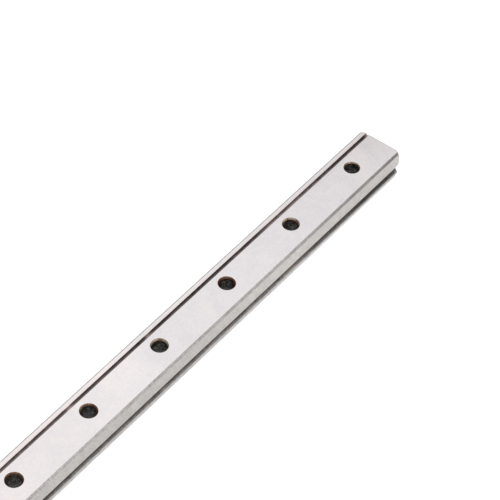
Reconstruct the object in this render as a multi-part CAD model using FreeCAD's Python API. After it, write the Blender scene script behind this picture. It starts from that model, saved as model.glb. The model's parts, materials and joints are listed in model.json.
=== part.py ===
import FreeCAD, Part
import math
import os

# Miniature linear guide rail, size 12, ground from one bar of hardened steel.
# All lengths are in millimetres. X runs along the rail, Y across it and Z up.
# The rail lies on its running head, with its mounting face up, and the origin
# is under the middle of that head.

# Bar
rail_length = 250.0
rail_width = 12.0
rail_height = 8.0

# Edges
mount_chamfer = 0.5
head_chamfer = 0.3
end_chamfer = 0.5

# Ball groove in each side, a gothic arch of two arcs
ball_diameter = 2.381
groove_conformity = 0.52
contact_angle = 45.0
ball_stand_out = 0.7
groove_height = 2.5
lead_in = 0.65

# Mounting holes: a straight screw hole with a chamfered mouth, and a counterbore from the head's side
hole_pitch = 25.0
screw_hole_diameter = 3.5
mouth_chamfer = 0.4
counterbore_diameter = 6.0
counterbore_depth = 4.5
least_end_wall = 3.0

# Datum slot: a narrow slot in the mounting face that marks the reference side
slot_width = 0.9
slot_depth = 0.6
slot_land = 1.6

# Sizes that follow from those above
half_width = rail_width / 2.0
half_length = rail_length / 2.0
least_end = counterbore_diameter / 2.0 + least_end_wall
hole_gaps = math.floor((rail_length - 2.0 * least_end) / hole_pitch)
first_hole = -hole_gaps * hole_pitch / 2.0

ball_radius = ball_diameter / 2.0
groove_radius = groove_conformity * ball_diameter
arc_shift = groove_radius - ball_radius
shift_y = arc_shift * math.cos(math.radians(contact_angle))
shift_z = arc_shift * math.sin(math.radians(contact_angle))
arc_centre_y = half_width + ball_stand_out + shift_y
upper_arc_z = groove_height - shift_z
lower_arc_z = groove_height + shift_z


def rise(y):
    # Height of an arc of the groove above or below its centre, at a distance y from the rail's middle
    return math.sqrt(groove_radius ** 2 - (arc_centre_y - y) ** 2)


# Points down one side of the section, from the mounting face to the head's face
groove_bottom_y = arc_centre_y - math.sqrt(groove_radius ** 2 - shift_z ** 2)
groove_bottom = (groove_bottom_y, groove_height)
groove_top = (half_width, upper_arc_z + rise(half_width))
groove_foot = (half_width, lower_arc_z - rise(half_width))
arc_mid_y = (groove_bottom_y + half_width) / 2.0
upper_mid = (arc_mid_y, upper_arc_z + rise(arc_mid_y))
lower_mid = (arc_mid_y, lower_arc_z - rise(arc_mid_y))


def at(point, side):
    return FreeCAD.Vector(-half_length, side * point[0], point[1])


def line(start, end, side):
    return Part.makeLine(at(start, side), at(end, side))


def arc(start, middle, end, side):
    return Part.Arc(at(start, side), at(middle, side), at(end, side)).toShape()


# Section of the bar with both ball grooves
top_edge = (half_width - mount_chamfer, rail_height)
top_side = (half_width, rail_height - mount_chamfer)
head_side = (half_width, head_chamfer)
head_edge = (half_width - head_chamfer, 0.0)
edges = []
for side in (1, -1):
    edges.append(line(top_edge, top_side, side))
    edges.append(line(top_side, groove_top, side))
    edges.append(arc(groove_top, upper_mid, groove_bottom, side))
    edges.append(arc(groove_bottom, lower_mid, groove_foot, side))
    edges.append(line(groove_foot, head_side, side))
    edges.append(line(head_side, head_edge, side))
edges.append(Part.makeLine(at(top_edge, 1), at(top_edge, -1)))
edges.append(Part.makeLine(at(head_edge, 1), at(head_edge, -1)))
section = Part.Face(Part.Wire(Part.__sortEdges__(edges)))
rail = section.extrude(FreeCAD.Vector(rail_length, 0, 0))

# Cut ends, with their outer edges broken
corner = FreeCAD.Vector(-half_length, -half_width, 0)
blank = Part.makeBox(rail_length, rail_width, rail_height, corner)
end_edges = []
for edge in blank.Edges:
    if abs(abs(edge.CenterOfMass.x) - half_length) < 1e-6:
        end_edges.append(edge)
rail = rail.common(blank.makeChamfer(end_chamfer, end_edges))

# Lead-in at both ends of each ball groove, a 45 degree cone on the groove's axis
lead_length = lead_in + groove_radius - ball_radius
for side in (1, -1):
    for end in (1, -1):
        start = FreeCAD.Vector(end * (half_length - lead_length), side * arc_centre_y, groove_height)
        outward = FreeCAD.Vector(end, 0, 0)
        rail = rail.cut(Part.makeCone(ball_radius, groove_radius + lead_in, lead_length, start, outward))

# Datum slot along the whole mounting face, on the +Y side
slot_corner = FreeCAD.Vector(-half_length, half_width - slot_land - slot_width, rail_height - slot_depth)
rail = rail.cut(Part.makeBox(rail_length, slot_width, slot_depth, slot_corner))

# Mounting holes along the middle
screw_radius = screw_hole_diameter / 2.0
for index in range(hole_gaps + 1):
    foot = FreeCAD.Vector(first_hole + index * hole_pitch, 0, 0)
    mouth = foot + FreeCAD.Vector(0, 0, rail_height - mouth_chamfer)
    rail = rail.cut(Part.makeCylinder(screw_radius, rail_height, foot))
    rail = rail.cut(Part.makeCone(screw_radius, screw_radius + mouth_chamfer, mouth_chamfer, mouth))
    rail = rail.cut(Part.makeCylinder(counterbore_diameter / 2.0, counterbore_depth, foot))

rail = rail.removeSplitter()
os.makedirs("parts", exist_ok=True)
rail.Solids[0].exportStep("parts/guide_rail.step")
print("guide_rail", len(rail.Solids), rail.isValid(), round(rail.Volume, 2))
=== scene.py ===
# %% [markdown]
# # A miniature linear guide rail
# The real rail is one bar of hardened steel, ground on every face. A carriage runs on balls in the groove
# along each side, and screws through the row of holes hold the rail to a machine. Here the loose rail lies
# on its running head on a white table, so its mounting face is up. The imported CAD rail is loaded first, as
# a fixed frame: every size and place below is taken from it or matches it.

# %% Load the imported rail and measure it
import json
import math

import bmesh
import bpy
from mathutils import Matrix, Vector


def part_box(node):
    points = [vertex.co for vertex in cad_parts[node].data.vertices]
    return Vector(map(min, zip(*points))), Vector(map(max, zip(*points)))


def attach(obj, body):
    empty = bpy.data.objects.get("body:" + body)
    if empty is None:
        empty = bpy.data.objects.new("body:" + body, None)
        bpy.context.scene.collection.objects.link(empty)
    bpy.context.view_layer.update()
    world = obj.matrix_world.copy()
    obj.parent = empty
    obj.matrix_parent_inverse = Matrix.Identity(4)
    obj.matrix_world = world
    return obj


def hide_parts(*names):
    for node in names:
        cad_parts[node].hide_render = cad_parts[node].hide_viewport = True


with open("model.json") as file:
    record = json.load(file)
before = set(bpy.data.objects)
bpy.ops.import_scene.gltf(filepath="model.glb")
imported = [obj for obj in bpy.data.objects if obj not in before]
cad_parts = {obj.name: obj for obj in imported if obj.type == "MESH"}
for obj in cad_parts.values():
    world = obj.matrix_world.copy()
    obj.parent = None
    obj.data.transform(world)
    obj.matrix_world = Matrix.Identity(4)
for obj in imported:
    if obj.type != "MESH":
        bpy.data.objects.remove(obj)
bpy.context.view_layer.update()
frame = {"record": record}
MM = 0.001
rail_low, rail_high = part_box("guide_rail")
rail_size = rail_high - rail_low
rail_middle = (rail_low + rail_high) / 2
half_width = rail_size.y / 2
screw_holes = [mount for mount in frame["record"]["mounts"] if mount["kind"] == "bore"]
screw_holes.sort(key=lambda hole: hole["pos_m"][0])
print("rail", [round(side / MM, 2) for side in rail_size], "mm,", len(screw_holes), "screw holes")

# %% [markdown]
# ## Camera
# A long lens from well above one side shows the mounting face, one flank and the far end, and leaves the
# near end outside the picture. The camera could be pointed at the rail with a constraint, but a place and
# three turns say plainly where it stands: round the rail, down onto it, and a small roll of its own.

# %% Place the camera
CAMERA_PLACE = Vector((-236.94, -216.74, 421.87)) * MM
CAMERA_ROUND = math.radians(-54.87)
CAMERA_DOWN = math.radians(47.39)
CAMERA_ROLL = math.radians(3.68)
PICTURE_PIXELS = 500
FOCAL_PIXELS = 2355
SENSOR_WIDTH = 36.0
NEAREST_SEEN = 10 * MM

turn = Matrix.Rotation(CAMERA_ROUND, 4, "Z")
tip = Matrix.Rotation(math.pi / 2 - CAMERA_DOWN, 4, "X")
roll = Matrix.Rotation(CAMERA_ROLL, 4, "Z")
bpy.ops.object.camera_add(location=CAMERA_PLACE, rotation=(turn @ tip @ roll).to_euler())
camera = bpy.context.object
camera.data.sensor_width = SENSOR_WIDTH
camera.data.lens = SENSOR_WIDTH * FOCAL_PIXELS / PICTURE_PIXELS
camera.data.clip_start = NEAREST_SEEN
bpy.context.scene.camera = camera
print("camera lens", round(camera.data.lens, 1), "mm")

# %% [markdown]
# ## Nodes
# Every material below is a node tree. In the shader editor each node would be added and wired by hand, and
# a few small helpers do the same here. They set the inputs that are given a value and link those that are
# given another node's output, so that a tree reads like a list of what feeds what.


# %% Helpers that add and link nodes
def give(tree, socket, value):
    """Link an output socket to an input socket, or set the input to a plain value."""
    if isinstance(value, bpy.types.NodeSocket):
        tree.links.new(value, socket)
    else:
        socket.default_value = value


def feed(tree, node, **inputs):
    """Give a node's inputs by name, with _ where the name has a space."""
    for name, value in inputs.items():
        give(tree, node.inputs[name.replace("_", " ")], value)


def add(tree, kind, **inputs):
    """Add a shader node and feed it."""
    made = tree.nodes.new("ShaderNode" + kind)
    feed(tree, made, **inputs)
    return made


print("node helpers ready")

# %% [markdown]
# Two kinds of node come up again and again: one takes a single number out of a place, and one maps a range
# of numbers onto another. Each gets a helper of its own, so that the materials can be written in one line a
# node.


# %% Helpers that take and map numbers
def part_of(tree, place, axis):
    """How far along X, Y or Z a place is."""
    return add(tree, "SeparateXYZ", Vector=place).outputs[axis]


def spread(tree, value, low, high, first=0.0, last=1.0):
    """Map a value that runs from low to high onto first to last."""
    made = add(tree, "MapRange", Value=value, From_Min=low, From_Max=high, To_Min=first, To_Max=last)
    return made.outputs["Result"]


def between(tree, share, first, last):
    """Map a share from nought to one onto first to last."""
    return spread(tree, share, 0.0, 1.0, first, last)


print("number helpers ready")

# %% [markdown]
# A colour ramp turns a number into a colour. A new one has two stops, and by hand more would be added one by
# one. The helper takes them as a list, so that all the colours of a finish stand together at the top of its
# cell.


# %% Helpers for colour ramps
def ramp(tree, factor, stops):
    """Add a colour ramp with stops of (place, (red, green, blue))."""
    made = add(tree, "ValToRGB", Fac=factor)
    elements = made.color_ramp.elements
    elements.remove(elements[1])
    for index, (place, colour) in enumerate(stops):
        stop = elements[0] if index == 0 else elements.new(place)
        stop.position = place
        stop.color = (*colour, 1.0)
    return made.outputs["Color"]


def greys(stops):
    """The stops of a ramp of greys, from (place, level) pairs."""
    return [(place, (level, level, level)) for place, level in stops]


print("ramp helpers ready")

# %% [markdown]
# ## Table and light
# A product shot on a white table has almost no shadow. A backdrop lit from below could give that. Here the
# table is one large plane that glows a little by itself, which lightens what shadow the rail has and needs
# no lamps to be placed.

# %% Lay the white table
TABLE_SIZE = 12.0
TABLE_WHITE = (0.86, 0.86, 0.86, 1)
TABLE_ROUGHNESS = 0.8
TABLE_GLOSS = 0.2
GLOW_COLOUR = (1, 1, 1, 1)
TABLE_GLOW = 0.385

bpy.ops.object.select_all(action="DESELECT")
bpy.ops.mesh.primitive_plane_add(size=TABLE_SIZE, location=(0, 0, rail_low.z))
table = bpy.context.object
table.name = "white_table"
white = bpy.data.materials.new("white_table")
white.use_nodes = True
feed(white.node_tree, white.node_tree.nodes["Principled BSDF"],
     Base_Color=TABLE_WHITE, Roughness=TABLE_ROUGHNESS, Specular_IOR_Level=TABLE_GLOSS,
     Emission_Color=GLOW_COLOUR, Emission_Strength=TABLE_GLOW)
table.data.materials.append(white)
print("table", TABLE_SIZE, "m")

# %% [markdown]
# Bare steel shows little but what it mirrors, so the light gives each face its tone. A tent of soft light
# could be built from large lamps, but the world's background does the same without them: its brightness
# follows the height that a ray looks up to. It is dim near the horizon, brightest high up at the side and a
# little dimmer straight overhead, which makes the mounting face light and the chamfer below it dark. The
# camera's side of the tent is brighter than the other.

# %% Hang the light tent
TENT_LIGHT = [(0.0, 0.40), (0.2, 0.60), (0.4, 0.80), (0.68, 1.05), (0.75, 1.24), (0.82, 1.42), (0.92, 1.35),
              (1.0, 1.1)]
FRONT_LIGHT = 1.5
FRONT_FROM = -0.3
FRONT_FULL = -0.75

tent = bpy.data.worlds.new("light_tent")
tent.use_nodes = True
bpy.context.scene.world = tent
tree = tent.node_tree
looking = add(tree, "TexCoord").outputs["Generated"]
by_height = ramp(tree, part_of(tree, looking, "Z"), greys(TENT_LIGHT))
front = spread(tree, part_of(tree, looking, "Y"), FRONT_FROM, FRONT_FULL, 1.0, FRONT_LIGHT)
feed(tree, tree.nodes["Background"], Color=by_height, Strength=front)
bpy.context.scene.view_settings.view_transform = "Standard"
print("tent light", [light for height, light in TENT_LIGHT], "from horizon to top")

# %% [markdown]
# ## Bar
# The CAD rail has the right shape, but its facets are made for measuring. Here the same bar is cut once
# more from a blank, as in the shop: chamfer the blank, grind the ball grooves, break the corners, saw the
# datum slot, open the grooves, round the ends and drill the holes. Each cut is a Boolean with a cutter that
# is modelled first and thrown away after, because that keeps flat faces flat, and a truly round hole needs
# only more sides on its cutter.


# %% Helpers that pick what an operator acts on
def take_up(piece):
    """Make this piece alone selected and active."""
    bpy.ops.object.select_all(action="DESELECT")
    piece.select_set(True)
    bpy.context.view_layer.objects.active = piece


def select_in(piece, element, test):
    """Go into edit mode, select just the piece's edges or faces that pass a test, and count them."""
    take_up(piece)
    bpy.ops.object.mode_set(mode="EDIT")
    bpy.ops.mesh.select_mode(type="EDGE" if element == "edges" else "FACE")
    bpy.ops.mesh.select_all(action="DESELECT")
    shape = bmesh.from_edit_mesh(piece.data)
    picked = [part for part in getattr(shape, element) if test(part)]
    for part in picked:
        part.select_set(True)
    bmesh.update_edit_mesh(piece.data)
    return len(picked)


def is_any(part):
    """Every edge or face passes."""
    return True


print("selecting helpers ready")

# %% [markdown]
# A bevel, a block and a cut do most of the work on the bar. A new primitive's place, turn and size are
# applied at once, so that its object stays at the origin and its mesh holds where it is.


# %% Helpers that bevel and block out
def bevel_edges(piece, test, offset, segments=1):
    """Bevel the piece's edges that pass a test, and count them."""
    count = select_in(piece, "edges", test)
    bpy.ops.mesh.bevel(offset=offset, segments=segments, affect="EDGES")
    bpy.ops.object.mode_set(mode="OBJECT")
    return count


def settle():
    """Move the new primitive's place, turn and size into its mesh."""
    bpy.ops.object.transform_apply(location=True, rotation=True, scale=True)
    return bpy.context.object


def bar_of(name, low, high):
    """Add a cube and size it to the box between two corners."""
    bpy.ops.object.select_all(action="DESELECT")
    bpy.ops.mesh.primitive_cube_add(size=1.0, location=(Vector(low) + Vector(high)) / 2)
    bpy.context.object.name = name
    bpy.context.object.scale = Vector(high) - Vector(low)
    return settle()


print("bevel and block helpers ready")

# %% [markdown]
# A Boolean modifier takes one shape out of another, or keeps what the two have in common. It could stay live
# on the piece, but once it is applied the piece is a plain mesh again, and the next tool can work on it. The
# exact solver is the slower one, and copes with faces that lie on each other.


# %% A helper that cuts
def cut(piece, cutter, operation="DIFFERENCE"):
    """Cut the piece by a cutter, apply the cut and throw the cutter away."""
    take_up(piece)
    boolean = piece.modifiers.new("cut", "BOOLEAN")
    boolean.operation = operation
    boolean.solver = "EXACT"
    boolean.object = cutter
    bpy.ops.object.modifier_apply(modifier=boolean.name)
    bpy.data.objects.remove(cutter)


print("cutting helper ready")

# %% [markdown]
# The blank is a cube sized to the CAD rail's box. On the real rail the long edges are chamfered, wide along
# the mounting face and narrow along the head. The profile could be drawn and extruded, but a bevel of one
# segment on those four edges is a chamfer already.

# %% Chamfer the blank
MOUNT_CHAMFER = 0.5 * MM
HEAD_CHAMFER = 0.3 * MM
NEARLY_ALL = 0.9
CLOSE = 0.001 * MM
rail = bar_of("ground_rail", rail_low, rail_high)


def lies_along(edge):
    """The edge runs along the rail, from end to end."""
    return abs(edge.verts[0].co.x - edge.verts[1].co.x) > NEARLY_ALL * rail_size.x


def is_mount_edge(edge):
    """A long edge of the mounting face."""
    return lies_along(edge) and edge.verts[0].co.z > rail_high.z - CLOSE


def is_head_edge(edge):
    """A long edge of the running head."""
    return lies_along(edge) and edge.verts[0].co.z < rail_low.z + CLOSE


bevel_edges(rail, is_mount_edge, MOUNT_CHAMFER)
bevel_edges(rail, is_head_edge, HEAD_CHAMFER)
print("blank chamfered,", len(rail.data.polygons), "faces")

# %% [markdown]
# ## Ball grooves
# A ball touches its groove at two points, so the groove isn't one round: it is a pointed arch of two arcs a
# little larger than the ball. The balls press at 45 degrees, so the arcs' centres lie as far up or down as
# they lie out. The arch could be drawn by eye, but it all follows from the ball, so it is worked out.

# %% Work out the arch of the grooves
BALL_DIAMETER = 2.381 * MM
GROOVE_RADIUS = 0.52 * BALL_DIAMETER
CONTACT_ANGLE = math.radians(45)
BALL_STAND_OUT = 0.7 * MM
GROOVE_HEIGHT = 2.5 * MM
ball_radius = BALL_DIAMETER / 2
arc_shift = (GROOVE_RADIUS - ball_radius) * math.sin(CONTACT_ANGLE)
arc_centre = half_width + BALL_STAND_OUT + arc_shift
groove_z = rail_low.z + GROOVE_HEIGHT
groove_bottom = arc_centre - math.sqrt(GROOVE_RADIUS ** 2 - arc_shift ** 2)
groove_depth = half_width - groove_bottom
half_mouth = math.sqrt(GROOVE_RADIUS ** 2 - (arc_centre - half_width) ** 2) - arc_shift
upper_lip = groove_z + half_mouth
lower_lip = groove_z - half_mouth
print("arch", round(groove_depth / MM, 2), "mm deep,", round(2 * half_mouth / MM, 2), "mm wide")

# %% [markdown]
# Two cylinders set slightly apart, one above the other, overlap in just that arch, so each groove's cutter is
# what two cylinders have in common. They are longer than the rail, so that the groove runs out at both ends.

# %% Grind the ball grooves
GROOVE_SIDES = 96
OVERCUT = 1.0 * MM


def round_bar(y, z):
    """A cylinder along the rail that is longer than the rail."""
    bpy.ops.object.select_all(action="DESELECT")
    bpy.ops.mesh.primitive_cylinder_add(
        vertices=GROOVE_SIDES, radius=GROOVE_RADIUS, depth=rail_size.x + 2 * OVERCUT,
        location=(rail_middle.x, y, z), rotation=(0, math.pi / 2, 0))
    return settle()


for side in (1, -1):
    arch = round_bar(side * arc_centre, groove_z - arc_shift)
    cut(arch, round_bar(side * arc_centre, groove_z + arc_shift), "INTERSECT")
    cut(rail, arch)
print("grooves ground,", len(rail.data.polygons), "faces")

# %% [markdown]
# ## Broken corners
# No ground edge is left razor sharp: a stone takes a few hundredths of a millimetre off each, and that
# sliver catches the light as a thin line. A bevel on every long outward corner gives it. It comes before
# the slot and the holes, while the bar is still a plain prism and the bevel has nothing to run into.

# %% Break the long corners
CORNER_BREAK = 0.05 * MM
CORNER_ANGLE = math.radians(30)
BREAK_SEGMENTS = 2


def is_sharp_corner(edge):
    """A long edge where two faces meet outwards at more than a slight angle."""
    return lies_along(edge) and edge.calc_face_angle_signed(0.0) > CORNER_ANGLE


corners = bevel_edges(rail, is_sharp_corner, CORNER_BREAK, BREAK_SEGMENTS)
print("corners broken:", corners)

# %% [markdown]
# ## Datum slot
# One narrow slot near the +Y edge of the mounting face tells the fitter which side to push against the
# machine's shoulder. It runs out at both ends, so a plain long box cuts it. Its inner rim stays as sharp as
# the saw left it. Its outer rim is filed off a little, so that one edge alone gets a bevel.

# %% Saw the datum slot
SLOT_WIDTH = 0.9 * MM
SLOT_DEPTH = 0.6 * MM
SLOT_LAND = 1.6 * MM
RIM_FILED = 0.09 * MM
slot_out = half_width - SLOT_LAND
slot_in = slot_out - SLOT_WIDTH
slot_floor = rail_high.z - SLOT_DEPTH
slot_low = (rail_low.x - OVERCUT, slot_in, slot_floor)
slot_high = (rail_high.x + OVERCUT, slot_out, rail_high.z + OVERCUT)
cut(rail, bar_of("slot_cutter", slot_low, slot_high))


def is_outer_rim(edge):
    """The long edge where the slot's outer wall meets the mounting face."""
    return is_mount_edge(edge) and abs(edge.verts[0].co.y - slot_out) < CLOSE


filed = bevel_edges(rail, is_outer_rim, RIM_FILED)
print("slot from", round(slot_in / MM, 2), "to", round(slot_out / MM, 2), "mm,", filed, "rim filed")

# %% [markdown]
# ## Lead-ins
# So that the balls run onto the rail without catching, each end of a groove opens out a little. A short
# cone on the groove's axis cuts that lead-in, and takes the sharp corners off the lips with it.

# %% Open the grooves at the ends
LEAD_IN = 0.65 * MM
lead_length = LEAD_IN + GROOVE_RADIUS - ball_radius
cone_length = lead_length + OVERCUT
for side in (1, -1):
    for end, outward in ((rail_low.x, -1), (rail_high.x, 1)):
        bpy.ops.object.select_all(action="DESELECT")
        bpy.ops.mesh.primitive_cone_add(
            vertices=GROOVE_SIDES, radius1=ball_radius, radius2=ball_radius + cone_length, depth=cone_length,
            location=(end + outward * (cone_length / 2 - lead_length), side * arc_centre, groove_z),
            rotation=(0, outward * math.pi / 2, 0))
        cut(rail, settle())
print("lead-in", round(LEAD_IN / MM, 2), "mm long")

# %% [markdown]
# ## Ends
# The cut ends are rounded over on a brush, most of all at the four corners. A bevel on the bar itself would
# have to follow grooves and slot. It is simpler to round a plain block in the same way, and to keep what
# the bar has in common with it. One block has its level end edges rounded, and one its upright end edges.

# %% Round the edges of the ends
LEVEL_ROUND = 0.5 * MM
UPRIGHT_ROUND = 0.3 * MM
ROUND_SEGMENTS = 6


def is_end_edge(edge, upright):
    """An upright or a level edge of the two end faces."""
    first, second = (vertex.co for vertex in edge.verts)
    at_end = abs(first.x + second.x) / 2 > rail_high.x - CLOSE
    return at_end and (abs(first.z - second.z) > CLOSE) == upright


for upright, radius in ((False, LEVEL_ROUND), (True, UPRIGHT_ROUND)):
    end_block = bar_of("end_block", rail_low, rail_high)
    bevel_edges(end_block, lambda edge: is_end_edge(edge, upright), radius, ROUND_SEGMENTS)
    cut(rail, end_block, "INTERSECT")
print("end edges rounded,", len(rail.data.polygons), "faces")

# %% [markdown]
# A third block has its corners rounded, by a bevel that acts on vertices instead of edges. The corners on
# the datum side are a little less round than those on the other.

# %% Round the corners of the ends
CORNER_ROUND = 2.4 * MM
DATUM_CORNER_ROUND = 2.1 * MM
FACING = 0.99
corner_block = bar_of("corner_block", rail_low, rail_high)
for side, radius in ((-1, CORNER_ROUND), (1, DATUM_CORNER_ROUND)):
    select_in(corner_block, "faces", lambda face: face.normal.y * side > FACING)
    bpy.ops.mesh.bevel(offset=radius, segments=ROUND_SEGMENTS, affect="VERTICES")
    bpy.ops.object.mode_set(mode="OBJECT")
cut(rail, corner_block, "INTERSECT")
print("end corners rounded,", len(rail.data.polygons), "faces")

# %% [markdown]
# ## Screw holes
# Each hole is a straight screw hole from the mounting face and a wider counterbore from the head. They
# could be cut with one cylinder each, but a single cutter can have both. It flares where it leaves the
# metal, so that the cut leaves a chamfer at each mouth. First come its rings, from the head up, each a
# height and a radius.

# %% Measure the rings of the hole cutter
COUNTERBORE_RADIUS = 3.0 * MM
COUNTERBORE_DEPTH = 4.5 * MM
COUNTERBORE_BREAK = 0.12 * MM
MOUTH_CHAMFER = 0.4 * MM
RIM_DEPTH = 0.02 * MM
bore_radius = screw_holes[0]["dims"]["r_mm"] * MM
mouth_radius = bore_radius + MOUTH_CHAMFER
ledge = rail_low.z + COUNTERBORE_DEPTH
mouth_foot = rail_high.z - MOUTH_CHAMFER
rings = [
    (rail_low.z - OVERCUT, COUNTERBORE_RADIUS + COUNTERBORE_BREAK + OVERCUT),
    (rail_low.z + COUNTERBORE_BREAK, COUNTERBORE_RADIUS),
    (ledge, COUNTERBORE_RADIUS),
    (ledge, bore_radius),
    (mouth_foot, bore_radius),
    (rail_high.z - RIM_DEPTH, mouth_radius - RIM_DEPTH),
    (rail_high.z, mouth_radius + CORNER_BREAK),
    (rail_high.z + OVERCUT, mouth_radius + CORNER_BREAK + OVERCUT),
]
print(len(rings), "rings, the bore", round(2 * bore_radius / MM, 2), "mm wide")

# %% [markdown]
# The cutter is drawn out of a filled circle, as on a lathe: each ring is one extrude upwards and one scale
# to the ring's radius. Where two rings have the same height, the extrude is flat and makes the ledge.

# %% Draw the hole cutter out of a circle
HOLE_SIDES = 96
foot_z, foot_radius = rings[0]
bpy.ops.object.select_all(action="DESELECT")
bpy.ops.mesh.primitive_circle_add(
    vertices=HOLE_SIDES, radius=foot_radius, fill_type="NGON", location=(0, 0, foot_z))
drill = settle()
bpy.ops.object.mode_set(mode="EDIT")
bpy.ops.mesh.select_all(action="SELECT")
for (z_before, radius_before), (z, radius) in zip(rings, rings[1:]):
    growth = radius / radius_before
    bpy.ops.mesh.extrude_region_move(TRANSFORM_OT_translate={"value": (0, 0, z - z_before)})
    bpy.ops.transform.resize(value=(growth, growth, 1), center_override=(0, 0, z))
bpy.ops.mesh.select_all(action="SELECT")
bpy.ops.mesh.normals_make_consistent(inside=False)
bpy.ops.object.mode_set(mode="OBJECT")
print("cutter with", len(drill.data.polygons), "faces")

# %% [markdown]
# The cutter is copied to every hole that the record states. The hole at the far end was countersunk a
# little less deep than the others, so on its copy the flare is moved up. Once all are cut, vertices that
# the cuts left on top of each other are merged.

# %% Drill every screw hole
FAR_MOUTH_SHALLOW = 0.08 * MM
drills = []
for hole in screw_holes:
    tool = drill.copy()
    tool.data = drill.data.copy()
    tool.data.transform(Matrix.Translation((hole["pos_m"][0], hole["pos_m"][1], 0)))
    bpy.context.scene.collection.objects.link(tool)
    drills.append(tool)
bpy.data.objects.remove(drill)
select_in(drills[-1], "faces", lambda face: face.calc_center_median().z > mouth_foot + CLOSE)
bpy.ops.transform.translate(value=(0, 0, FAR_MOUTH_SHALLOW))
bpy.ops.object.mode_set(mode="OBJECT")
for tool in drills:
    cut(rail, tool)
select_in(rail, "faces", is_any)
bpy.ops.mesh.remove_doubles(threshold=CLOSE)
bpy.ops.mesh.normals_make_consistent(inside=False)
bpy.ops.object.mode_set(mode="OBJECT")
print("drilled", len(drills), "holes,", len(rail.data.polygons), "faces in all")

# %% [markdown]
# The walls of holes and grooves are made of narrow flat faces. Smooth shading hides that, but it must not
# run round the sharp corners, so it is limited to faces that meet at a small angle.

# %% Shade the round walls smooth and the flats flat
SMOOTH_ANGLE = math.radians(12)
take_up(rail)
bpy.ops.object.shade_smooth_by_angle(angle=SMOOTH_ANGLE)
print("smooth below", round(math.degrees(SMOOTH_ANGLE)), "degrees")

# %% [markdown]
# ## Shared effects
# Three things show on more than one surface: the fine lines that a grinding wheel leaves, the cloudy film
# of oil and handling, and a mask by height for grime, painted shade and one painted highlight. Copied nodes
# would do, but as a node group each is built once, and every material places it with its own values.


# %% A helper that starts a node group
def new_group(name, output, **inputs):
    """An empty node group: an input with three numbers is a vector, and one with a number is a float."""
    group = bpy.data.node_groups.new(name, "ShaderNodeTree")
    for socket, value in inputs.items():
        kind = "NodeSocketVector" if isinstance(value, tuple) else "NodeSocketFloat"
        made = group.interface.new_socket(socket, in_out="INPUT", socket_type=kind)
        made.default_value = value
    group.interface.new_socket(output, in_out="OUTPUT", socket_type="NodeSocketFloat")
    given = group.nodes.new("NodeGroupInput").outputs
    result = group.nodes.new("NodeGroupOutput").inputs[output]
    return group, given, result


print("group helper ready")

# %% [markdown]
# Grinding lines are long and thin. Noise makes round blots, but where its coordinates are stretched far
# more one way than the other, the blots become streaks. The stretch is an input, because each face is
# ground its own way.

# %% Group: grinding lines
ALONG_THE_BAR = (40, 5000, 5000)
LINES_SEEN = (0.3, 0.7)
lines_group, given, result = new_group(
    "grinding_lines", "Lines", Place=(0, 0, 0), Stretch=ALONG_THE_BAR)
stretched = lines_group.nodes.new("ShaderNodeVectorMath")
stretched.operation = "MULTIPLY"
give(lines_group, stretched.inputs[0], given["Place"])
give(lines_group, stretched.inputs[1], given["Stretch"])
streaks = add(lines_group, "TexNoise", Vector=stretched.outputs["Vector"],
              Scale=1.0, Detail=4.0, Roughness=0.62)
give(lines_group, result, spread(lines_group, streaks.outputs["Fac"], *LINES_SEEN))
print("group", lines_group.name)

# %% [markdown]
# An oil film lies in soft clouds, and the same pattern made small gives specks and spots. It is plain noise
# with a little distortion, so that no cloud is round, and with its size as an input.

# %% Group: oil film
FILM_SEEN = (0.34, 0.68)
film_group, given, result = new_group("oil_film", "Film", Place=(0, 0, 0), Size=90.0)
clouds = add(film_group, "TexNoise", Vector=given["Place"], Scale=given["Size"],
             Detail=5.0, Roughness=0.58, Distortion=0.6)
give(film_group, result, spread(film_group, clouds.outputs["Fac"], *FILM_SEEN))
print("group", film_group.name)

# %% [markdown]
# The mask follows height: none at one level, all of it at another, and it carries grime and painted shade. A
# straight border would look painted, so noise lifts and lowers the height that is compared by as much as the
# group is told.

# %% Group: a mask by height for grime and painted shade
WOBBLE_SIZE = 900.0
depth_mask_group, given, result = new_group(
    "depth_mask", "Grime", Place=(0, 0, 0), Mouth=0.0, Foot=1.0 * MM, Uneven=0.2 * MM)


def combine(tree, operation, first, second):
    """A math node on two values or sockets."""
    made = tree.nodes.new("ShaderNodeMath")
    made.operation = operation
    give(tree, made.inputs[0], first)
    give(tree, made.inputs[1], second)
    return made.outputs["Value"]


wobble = add(depth_mask_group, "TexNoise", Vector=given["Place"], Scale=WOBBLE_SIZE, Detail=3.0)
wave = between(depth_mask_group, wobble.outputs["Fac"], -0.5, 0.5)
swing = combine(depth_mask_group, "MULTIPLY", wave, given["Uneven"])
level = combine(depth_mask_group, "ADD", part_of(depth_mask_group, given["Place"], "Z"), swing)
give(depth_mask_group, result, spread(depth_mask_group, level, given["Mouth"], given["Foot"]))
print("group", depth_mask_group.name)

# %% [markdown]
# ## Steel
# Every surface of the rail is the same steel in another state, so each finish starts alike: a metal whose
# patterns lie on the object's own coordinates. These are in metres and stay with the bar, so a pattern has
# its real size and can't slide.


# %% Helpers that start a finish
def start_steel(name):
    """A metal material, with its node tree, its shader and the object coordinates that it reads."""
    made = bpy.data.materials.new(name)
    made.use_nodes = True
    shader = made.node_tree.nodes["Principled BSDF"]
    feed(made.node_tree, shader, Metallic=1.0)
    place = add(made.node_tree, "TexCoord").outputs["Object"]
    return made, made.node_tree, shader, place


def place_group(tree, group, **inputs):
    """Put a node group into a material, feed it, and hand on its one output."""
    made = tree.nodes.new("ShaderNodeGroup")
    made.node_tree = group
    feed(tree, made, **inputs)
    return made.outputs[0]


def bump(tree, height, depth, strength):
    """A bump whose height runs from nought to one over a real depth in metres."""
    return add(tree, "Bump", Height=height, Distance=depth, Strength=strength).outputs["Normal"]


print("finish helpers ready")

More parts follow.
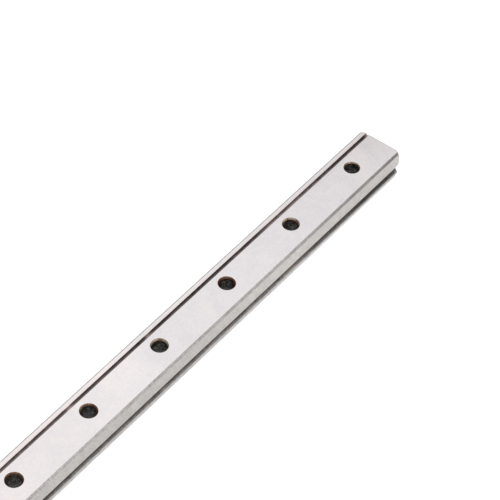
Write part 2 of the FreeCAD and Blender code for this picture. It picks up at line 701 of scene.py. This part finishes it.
# %% [markdown]
# The finishes are mixed like paint: one pattern is weighed against another, one colour is laid over another
# by a mask, and a colour is made darker or lighter. In Blender the Mix node does the last two, with another
# blend type for each.

# %% Helpers that mix and dim colours
COLOUR_IN = (6, 7)
COLOUR_OUT = 2


def weighed(tree, first, second, share):
    """Two patterns added up, with the second having the given share."""
    rest = combine(tree, "MULTIPLY", first, 1 - share)
    return combine(tree, "ADD", rest, combine(tree, "MULTIPLY", second, share))


def mix_colours(tree, factor, first, second, blend="MIX"):
    """Mix two colours; the Mix node has sockets of other kinds too, so its colour sockets go by number."""
    made = tree.nodes.new("ShaderNodeMix")
    made.data_type = "RGBA"
    made.blend_type = blend
    feed(tree, made, Factor=factor)
    for socket, colour in zip(COLOUR_IN, (first, second)):
        give(tree, made.inputs[socket], colour)
    return made.outputs[COLOUR_OUT]


def dimmed(tree, colour, level):
    """A colour multiplied by a level."""
    return mix_colours(tree, 1.0, colour, level, "MULTIPLY")


print("mixing helpers ready")

# %% [markdown]
# A level or a colour can also change along the bar; most of these levels are painted sheen and shade.
# It could be painted on the mesh, but that would need many more vertices. A ramp along the bar does it with
# a few stops.


# %% A helper that changes a colour along the bar
def along_rail(tree, place, colours):
    """A colour that changes along the rail, from (place in mm, colour) pairs."""
    share = spread(tree, part_of(tree, place, "X"), rail_low.x, rail_high.x)
    return ramp(tree, share, [((mm * MM - rail_low.x) / rail_size.x, colour) for mm, colour in colours])


print("along-the-bar helper ready")

# %% [markdown]
# ## Ground faces
# The mounting face is surface ground: nearly white, with a faint pink and lilac cast where oil lies thin,
# and hair-fine lines along the bar. The colour of a metal is what it does to the light that it mirrors, so
# the film only shifts the tint and roughness a little. Its cast also changes along the bar, from pink to
# bluish and back to pink near the far end. Beyond the slot the face is a touch warmer.

# %% Finish of the mounting face
MOUNT_TINT = [(0.1, (0.626, 0.606, 0.620)), (0.5, (0.672, 0.642, 0.646)), (0.9, (0.718, 0.676, 0.667))]
MOUNT_CAST = [(24, (1.012, 1.0, 0.997)), (36, (0.998, 1.0, 1.006)), (68, (1.0, 1.0, 1.007)),
              (86, (1.0, 1.0, 1.016)), (106, (1.005, 1.0, 1.012)), (114, (1.014, 1.0, 1.002))]
# MOUNT_SHEEN is painted sheen: the face's reflection made lighter or darker along the bar.
MOUNT_SHEEN = [(-125, 0.96), (-60, 1.01), (0, 0.99), (25, 1.045), (34, 1.0), (42, 0.98), (50, 0.99),
               (75, 0.99), (108, 0.945), (114, 0.958), (120, 0.93), (125, 0.935)]
BEYOND_SLOT = [(0.0, (1, 1, 1)), (1.0, (1.03, 1.015, 1.0))]
MOUNT_ROUGHNESS = (0.25, 0.33)
LINE_DEPTH = 0.004 * MM
MOUNT_BUMP = 0.12

mount_steel, tree, shader, place = start_steel("ground_mounting_face")
lines = place_group(tree, lines_group, Place=place)
film = place_group(tree, film_group, Place=place, Size=160.0)
specks = place_group(tree, film_group, Place=place, Size=1300.0)
mottle = weighed(tree, film, specks, share=0.5)
across = spread(tree, part_of(tree, place, "Y"), slot_in, slot_out)
cast = dimmed(tree, ramp(tree, across, BEYOND_SLOT), along_rail(tree, place, MOUNT_CAST))
sheen = dimmed(tree, cast, along_rail(tree, place, greys(MOUNT_SHEEN)))
feed(tree, shader,
     Base_Color=dimmed(tree, ramp(tree, mottle, MOUNT_TINT), sheen),
     Roughness=between(tree, mottle, *MOUNT_ROUGHNESS),
     Normal=bump(tree, lines, LINE_DEPTH, MOUNT_BUMP))
print("finish", mount_steel.name)

# %% [markdown]
# The flanks are ground too, but by a cup wheel that swings across them, so their lines are short and run a
# little upright: the same group, on turned coordinates. They mirror the table, not the tent, and look
# greyer and warmer than the mounting face. A thin band above the groove's lip is painted brighter: a
# painted highlight along the lip's edge.

# %% Finish of the flanks
FLANK_TINT = [(0.1, (0.42, 0.401, 0.384)), (0.9, (0.626, 0.60, 0.578))]
FLANK_SHEEN = [(-125, 0.98), (-50, 0.95), (-3, 0.93), (48, 0.94), (72, 1.05), (90, 1.02), (105, 0.96),
               (112, 0.95), (119, 0.92), (125, 0.92)]
FLANK_ROUGHNESS = (0.32, 0.42)
FLANK_BUMP = 0.2
HATCH_SLANT = math.radians(30)
HATCH = (5600.0, 60.0, 420.0)
LIP_REACH = 0.4 * MM
LIP_HIGHLIGHT = [(0.0, 0.87), (1.0, 1.0)]

flank_steel, tree, shader, place = start_steel("ground_flank")
slanted = add(tree, "VectorRotate", Vector=place, Axis=(0, 1, 0), Angle=HATCH_SLANT).outputs["Vector"]
lines = place_group(tree, lines_group, Place=slanted, Stretch=HATCH)
film = place_group(tree, film_group, Place=place, Size=300.0)
mottle = weighed(tree, film, lines, share=0.8)
# A painted highlight: the band just above the groove's lip is made brighter.
lip_highlight = place_group(
    tree, depth_mask_group, Place=place, Mouth=upper_lip + LIP_REACH, Foot=upper_lip, Uneven=0.1 * MM)
sheen = dimmed(tree, ramp(tree, lip_highlight, greys(LIP_HIGHLIGHT)), along_rail(tree, place, greys(FLANK_SHEEN)))
feed(tree, shader,
     Base_Color=dimmed(tree, ramp(tree, mottle, FLANK_TINT), sheen),
     Roughness=between(tree, lines, *FLANK_ROUGHNESS),
     Normal=bump(tree, lines, LINE_DEPTH, FLANK_BUMP))
print("finish", flank_steel.name)

# %% [markdown]
# The chamfers were cut before hardening and only wiped, so they keep a thin brown stain. Toward the far end
# and on the datum side they are painted darker, as painted shade. That shade is laid over the bare tint as
# two levels, one along the bar and one across.

# %% Finish of chamfers and broken corners
CORNER_TINT = [(0.1, (0.325, 0.294, 0.287)), (0.9, (0.535, 0.504, 0.496))]
CHAMFER_SHADE = [(-125, 0.92), (0, 0.95), (48, 0.87), (72, 0.90), (90, 0.79), (97, 0.61), (108, 0.66),
                 (125, 0.48)]
DATUM_SIDE_SHADE = [(0.6, 1.0), (0.85, 0.58)]
CORNER_ROUGHNESS = (0.16, 0.24)
CORNER_LINES = (120.0, 4000.0, 4000.0)

corner_steel, tree, shader, place = start_steel("broken_corner")
lines = place_group(tree, lines_group, Place=place, Stretch=CORNER_LINES)
film = place_group(tree, film_group, Place=place, Size=260.0)
spots = place_group(tree, film_group, Place=place, Size=1900.0)
tint = ramp(tree, weighed(tree, film, spots, share=0.7), CORNER_TINT)
# Painted shade: the chamfers are darker toward the far end and on the datum side.
chamfer_shaded = dimmed(tree, tint, along_rail(tree, place, greys(CHAMFER_SHADE)))
across = spread(tree, part_of(tree, place, "Y"), 0.0, half_width)
feed(tree, shader,
     Base_Color=dimmed(tree, chamfer_shaded, ramp(tree, across, greys(DATUM_SIDE_SHADE))),
     Roughness=between(tree, lines, *CORNER_ROUGHNESS))
print("finish", corner_steel.name)

# %% [markdown]
# ## Dark surfaces
# The grooves and the lands below them are painted darker toward the far end of the rail. One
# helper turns a place along the bar into a value that changes over that stretch, so that both finishes
# change together.

# %% A helper for what changes toward the far end
FAR_FROM = 80 * MM
FAR_FULL = 105 * MM


def toward_far_end(tree, place, first, last):
    """A value that goes from first to last on the way to the far end."""
    return spread(tree, part_of(tree, place, "X"), FAR_FROM, FAR_FULL, first, last)


print("darker from", round(FAR_FROM / MM), "mm on, most from", round(FAR_FULL / MM), "mm on")

# %% [markdown]
# The ball grooves are hardened and dark, darkest under the upper lip: that darkening by height is painted
# shade, where the lip shades the groove. Towards the far end it comes lower, and at the very tip the groove
# is painted lighter. A mask by height gives the shade, and spots keep it from looking like paint.

# %% Finish of the ball grooves
GROOVE_TINT = [(0.0, (0.25, 0.230, 0.219)), (0.45, (0.12, 0.108, 0.10)), (0.75, (0.065, 0.056, 0.051)),
               (1.0, (0.02, 0.017, 0.015))]
GROOVE_SPOTS = [(0.1, (0.42, 0.40, 0.38)), (0.9, (1.62, 1.60, 1.58))]
GROOVE_SHEEN = [(-125, 0.95), (-8, 0.95), (2, 0.79), (22, 0.79), (30, 0.96), (60, 1.04), (78, 1.12),
                (88, 0.95), (103, 0.68), (112, 0.62), (121, 0.57), (123, 0.75), (124.4, 1.9)]
GROOVE_ROUGHNESS = (0.3, 0.42)
GROOVE_LINES = (60.0, 6000.0, 6000.0)
SHADE_FOOT = 0.1 * MM
FAR_LIP_DROP = 0.35 * MM

groove_steel, tree, shader, place = start_steel("dark_groove")
# The groove's darkening by height, darkest under the upper lip, is painted shade.
reach = toward_far_end(tree, place, lower_lip, lower_lip - FAR_LIP_DROP)
grime_and_shade = place_group(
    tree, depth_mask_group, Place=place, Mouth=reach, Foot=groove_z - SHADE_FOOT, Uneven=0.12 * MM)
lines = place_group(tree, lines_group, Place=place, Stretch=GROOVE_LINES)
film = place_group(tree, film_group, Place=place, Size=130.0)
spots = place_group(tree, film_group, Place=place, Size=1700.0)
uneven = ramp(tree, weighed(tree, film, spots, share=0.6), GROOVE_SPOTS)
sheen = dimmed(tree, uneven, along_rail(tree, place, greys(GROOVE_SHEEN)))
feed(tree, shader,
     Base_Color=dimmed(tree, ramp(tree, grime_and_shade, GROOVE_TINT), sheen),
     Roughness=between(tree, lines, *GROOVE_ROUGHNESS))
print("finish", groove_steel.name)

# %% [markdown]
# A narrow land lies below each groove, beside the head. It is ground and bright, but its upper part is
# painted dark as painted shade below the groove's lip, and at the far end nearly all of it. So two tints are
# mixed by the same depth mask group, which here reaches down from the lip.

# %% Finish of the lands on the head
LAND_CLEAN = [(0.1, (0.40, 0.395, 0.397)), (0.9, (0.53, 0.524, 0.526))]
LAND_SHADED = [(0.1, (0.13, 0.122, 0.118)), (0.9, (0.29, 0.275, 0.267))]
LAND_SHEEN = [(-125, 1.0), (60, 1.0), (80, 1.06), (90, 1.12), (104, 1.25), (125, 1.2)]
LAND_ROUGHNESS = (0.34, 0.45)
SHADE_REACH = 0.3 * MM
FAR_REACH = 0.95 * MM
FAR_SHADE = 0.45

land_steel, tree, shader, place = start_steel("shaded_land")
# The land's darkening below the groove's lip is painted shade.
reach = toward_far_end(tree, place, lower_lip - SHADE_REACH, lower_lip - FAR_REACH)
grime_and_shade = place_group(tree, depth_mask_group, Place=place, Mouth=reach, Foot=lower_lip, Uneven=0.15 * MM)
film = place_group(tree, film_group, Place=place, Size=900.0)
land_shaded = dimmed(tree, ramp(tree, film, LAND_SHADED), toward_far_end(tree, place, 1.0, FAR_SHADE))
tint = mix_colours(tree, grime_and_shade, ramp(tree, film, LAND_CLEAN), land_shaded)
feed(tree, shader,
     Base_Color=dimmed(tree, tint, along_rail(tree, place, greys(LAND_SHEEN))),
     Roughness=between(tree, grime_and_shade, *LAND_ROUGHNESS))
print("finish", land_steel.name)

# %% [markdown]
# The datum slot is sawn and never ground, so it stays brown to black, and its floor is the darkest: that
# darkening toward the floor is painted shade. Two short marks on it are painted lighter, and so is its tip at
# the far end. Each mark is a level that rises toward one place along the bar.

# %% Finish of the datum slot
SLOT_WALL = [(0.15, (0.36, 0.297, 0.276)), (0.85, (0.60, 0.522, 0.489))]
SLOT_FLOOR = [(0.15, (0.125, 0.103, 0.099)), (0.85, (0.27, 0.234, 0.225))]
SLOT_SHEEN = [(-125, 1.1), (-6, 1.1), (10, 1.0), (20, 0.85), (33, 0.76), (68, 0.73), (78, 0.95), (86, 1.5),
              (95, 1.35), (104, 1.08), (111, 0.62), (123, 0.55), (124.4, 1.4), (125, 2.1)]
SLOT_WALL_SHEEN = [(-125, 1.1), (0, 1.1), (15, 0.85), (30, 0.7), (60, 0.62), (125, 0.58)]
SLOT_MARKS = [(10.4 * MM, 1.8), (38.4 * MM, 2.8)]
MARK_LENGTH = 3.5 * MM
SLOT_ROUGHNESS = (0.4, 0.6)

slot_steel, tree, shader, place = start_steel("dark_slot")
film = place_group(tree, film_group, Place=place, Size=160.0)
specks = place_group(tree, film_group, Place=place, Size=900.0)
stain = weighed(tree, film, specks, share=0.5)
# Painted shade: the slot darkens from its rim down to its floor, over its brown stain.
grime_and_shade = place_group(
    tree, depth_mask_group, Place=place, Mouth=rail_high.z, Foot=slot_floor + SHADE_FOOT, Uneven=0.1 * MM)
wall = dimmed(tree, ramp(tree, stain, SLOT_WALL), along_rail(tree, place, greys(SLOT_WALL_SHEEN)))
tint = mix_colours(tree, grime_and_shade, wall, ramp(tree, stain, SLOT_FLOOR))
sheen = along_rail(tree, place, greys(SLOT_SHEEN))
for mark, level in SLOT_MARKS:
    offset = combine(tree, "SUBTRACT", part_of(tree, place, "X"), mark)
    aside = combine(tree, "ABSOLUTE", offset, 0.0)
    sheen = dimmed(tree, sheen, spread(tree, aside, MARK_LENGTH / 2, 0.0, 1.0, level))
feed(tree, shader, Base_Color=dimmed(tree, tint, sheen), Roughness=between(tree, specks, *SLOT_ROUGHNESS))
print("finish", slot_steel.name)

# %% [markdown]
# ## Rust in the screw holes
# The mouth of each hole is a turned chamfer that has rusted, and no two alike: some are still tan, and some
# are brown or orange. A material for each hole would do, but one is enough: how far each mouth has gone is
# painted, as one number a hole, into an attribute of the mesh that the finish reads.

# %% Paint how far each mouth has rusted
RUST_OF_HOLE = [0.6, 0.3, 0.85, 0.4, 0.85, 0.8, 0.3, 1.0, 0.32, 0.45]


def nearest_hole(point):
    """The number of the screw hole nearest to a point, and the distance to its axis."""
    reaches = [math.hypot(point.x - hole["pos_m"][0], point.y - hole["pos_m"][1]) for hole in screw_holes]
    return reaches.index(min(reaches)), min(reaches)


rusted = rail.data.attributes.new("rusted", "FLOAT", "POINT")
for vertex in rail.data.vertices:
    rusted.data[vertex.index].value = RUST_OF_HOLE[nearest_hole(vertex.co)[0]]
print("painted", len(RUST_OF_HOLE), "mouths")

# %% [markdown]
# Rust is patchy, so the painted number is raised and lowered by the film pattern before it picks a colour.
# It is also duller and less of a metal than steel, so the same number sets roughness and metal. Deeper in,
# painted shade darkens the rust.

# %% Finish of the holes' mouths
RUST_TINT = [(0.1, (0.33, 0.285, 0.23)), (0.5, (0.18, 0.12, 0.085)), (0.95, (0.10, 0.042, 0.016))]
MOUTH_SHADE = [(0.3, (1, 1, 1)), (0.75, (0.5, 0.43, 0.38)), (1.0, (0.25, 0.2, 0.18))]
PATCHINESS = 0.4
RUST_BEGINS = 0.2
RUSTY_METAL = (0.98, 0.8)
RUSTY_ROUGHNESS = (0.14, 0.36)
PIT_DEPTH = 0.02 * MM
PIT_BUMP = 0.3

mouth_steel, tree, shader, place = start_steel("rusty_mouth")
painted = add(tree, "Attribute")
painted.attribute_name = "rusted"
patches = place_group(tree, film_group, Place=place, Size=800.0)
rust = combine(tree, "ADD", painted.outputs["Fac"], between(tree, patches, -PATCHINESS, PATCHINESS))
# Painted shade: each mouth darkens deeper into the hole.
grime_and_shade = place_group(tree, depth_mask_group, Place=place, Mouth=rail_high.z, Foot=mouth_foot, Uneven=0.3 * MM)
feed(tree, shader,
     Base_Color=dimmed(tree, ramp(tree, rust, RUST_TINT), ramp(tree, grime_and_shade, MOUTH_SHADE)),
     Metallic=spread(tree, rust, RUST_BEGINS, 1.0, *RUSTY_METAL),
     Roughness=between(tree, rust, *RUSTY_ROUGHNESS),
     Normal=bump(tree, patches, PIT_DEPTH, PIT_BUMP))
print("finish", mouth_steel.name)

# %% [markdown]
# Below the mouth the drilled wall is dark and blotchy with soot from hardening, and it clears toward the
# head. It is darkest just under the mouth and again round the ledge, partly soot and partly painted shade,
# so a ramp over the wall's height sets it.

# %% Finish of the drilled walls
WALL_CLEAR = [(0.0, (0.30, 0.285, 0.27)), (1.0, (0.40, 0.385, 0.37))]
WALL_DARK = [(0.2, (0.07, 0.068, 0.068)), (0.55, (0.19, 0.19, 0.184)), (0.9, (0.50, 0.50, 0.475))]
WALL_SOOT_AND_SHADE = [(0.0, (0.55, 0.54, 0.53)), (0.15, (1.0, 0.98, 0.94)), (0.55, (0.97, 0.97, 0.96)),
             (1.0, (0.42, 0.37, 0.33))]
WALL_ROUGHNESS = (0.38, 0.55)

wall_steel, tree, shader, place = start_steel("drilled_wall")
grime_and_shade = place_group(tree, depth_mask_group, Place=place, Mouth=rail_low.z, Foot=ledge, Uneven=1.2 * MM)
patches = place_group(tree, film_group, Place=place, Size=1300.0)
tint = mix_colours(tree, grime_and_shade, ramp(tree, patches, WALL_CLEAR), ramp(tree, patches, WALL_DARK))
# Partly painted shade: the wall is darker under the mouth and round the ledge.
height = spread(tree, part_of(tree, place, "Z"), ledge, mouth_foot)
feed(tree, shader,
     Base_Color=dimmed(tree, tint, ramp(tree, height, WALL_SOOT_AND_SHADE)),
     Roughness=between(tree, patches, *WALL_ROUGHNESS))
print("finish", wall_steel.name)

# %% [markdown]
# ## Cut ends
# The ends, their rounds and the grooves' lead-ins are cut with an abrasive wheel and brushed. They are
# rougher than the ground faces, with coarse lines straight across the bar. A bump from the same group of
# lines is enough for that, because no line is deep enough to show at the outline.

# %% Finish of the cut ends
END_TINT = [(0.0, (0.56, 0.538, 0.522)), (1.0, (0.64, 0.614, 0.594))]
END_LINES = (900.0, 900.0, 9000.0)
END_ROUGHNESS = (0.34, 0.5)
END_LINE_DEPTH = 0.01 * MM
END_BUMP = 0.3

end_steel, tree, shader, place = start_steel("cut_end")
lines = place_group(tree, lines_group, Place=place, Stretch=END_LINES)
film = place_group(tree, film_group, Place=place, Size=300.0)
feed(tree, shader,
     Base_Color=ramp(tree, film, END_TINT),
     Roughness=between(tree, lines, *END_ROUGHNESS),
     Normal=bump(tree, lines, END_LINE_DEPTH, END_BUMP))
print("finish", end_steel.name)

# %% [markdown]
# ## Giving each face its finish
# By hand, faces would be picked in edit mode and assigned to a material slot. Here small tests pick them by
# their place and the way they face. First come the ground faces, which are flat and lie on the rail's box.


# %% Tests for the ground faces
def is_mount_or_head(face):
    """A flat face of the mounting face, or of the head below."""
    z = face.calc_center_median().z
    up = face.normal.z > FACING and z > rail_high.z - CLOSE
    down = face.normal.z < -FACING and z < rail_low.z + CLOSE
    return up or down


def is_side(face):
    """A flat face on either side of the bar."""
    return abs(face.normal.y) > FACING and abs(face.calc_center_median().y) > half_width - CLOSE


def is_flank(face):
    """A side face above the groove."""
    return is_side(face) and face.calc_center_median().z > groove_z


def is_land(face):
    """A side face below the groove."""
    return is_side(face) and face.calc_center_median().z < groove_z


print("tests for ground faces ready")

# %% [markdown]
# Grooves and slot are told by the space that they take up. A face that leans along the bar by more than a
# little belongs to an end, and not to the groove or slot that runs out there.

# %% Tests for grooves and slot
END_LEAN = 0.1


def is_groove(face):
    """A face of either ball groove."""
    centre = face.calc_center_median()
    within = groove_bottom - CLOSE < abs(centre.y) < half_width - CORNER_BREAK
    return within and abs(face.normal.x) < END_LEAN and abs(centre.z - groove_z) < half_mouth


def is_slot(face):
    """The slot's floor and walls, and its filed rim."""
    centre = face.calc_center_median()
    across = slot_in - CLOSE < centre.y < slot_out + RIM_FILED
    below = slot_floor - CLOSE < centre.z < rail_high.z - CLOSE
    return across and below and abs(face.normal.x) < END_LEAN


print("tests for grooves and slot ready")

# %% [markdown]
# A face is in a hole when all its corners are near the hole's axis. Its centre alone wouldn't tell, because
# a large flat face round a hole can have its centre there too. A mouth is what lies above the straight wall.
# What leans along the bar near an end, and isn't in a hole, is a cut end.


# %% Tests for holes and ends
def is_in_hole(face):
    """A face inside a screw hole or its counterbore."""
    reach = COUNTERBORE_RADIUS + CLOSE
    return all(nearest_hole(vertex.co)[1] < reach for vertex in face.verts) and not is_mount_or_head(face)


def is_mouth(face):
    """A face of a hole's chamfered mouth."""
    return is_in_hole(face) and face.calc_center_median().z > mouth_foot + CLOSE


def is_cut_end(face):
    """A face of an end, its rounds or a groove's lead-in."""
    near_end = abs(face.calc_center_median().x) > rail_high.x - CORNER_ROUND
    return near_end and abs(face.normal.x) > END_LEAN and not is_in_hole(face)


print("tests for holes and ends ready")

# %% [markdown]
# Every face starts as a broken corner, and each later finish takes its own. So what no test picks, such as
# the chamfers and the slivers at the corners, keeps the first finish.

# %% Assign the finishes
finishes = [
    (corner_steel, is_any),
    (wall_steel, is_in_hole),
    (mouth_steel, is_mouth),
    (groove_steel, is_groove),
    (slot_steel, is_slot),
    (mount_steel, is_mount_or_head),
    (flank_steel, is_flank),
    (land_steel, is_land),
    (end_steel, is_cut_end),
]
rail.data.materials.clear()
for index, (finish, test) in enumerate(finishes):
    rail.data.materials.append(finish)
    picked = select_in(rail, "faces", test)
    rail.active_material_index = index
    bpy.ops.object.material_slot_assign()
    bpy.ops.object.mode_set(mode="OBJECT")
    print(finish.name, "on", picked, "faces")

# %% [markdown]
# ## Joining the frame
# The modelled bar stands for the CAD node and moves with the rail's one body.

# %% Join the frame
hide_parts("guide_rail")
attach(rail, "root")
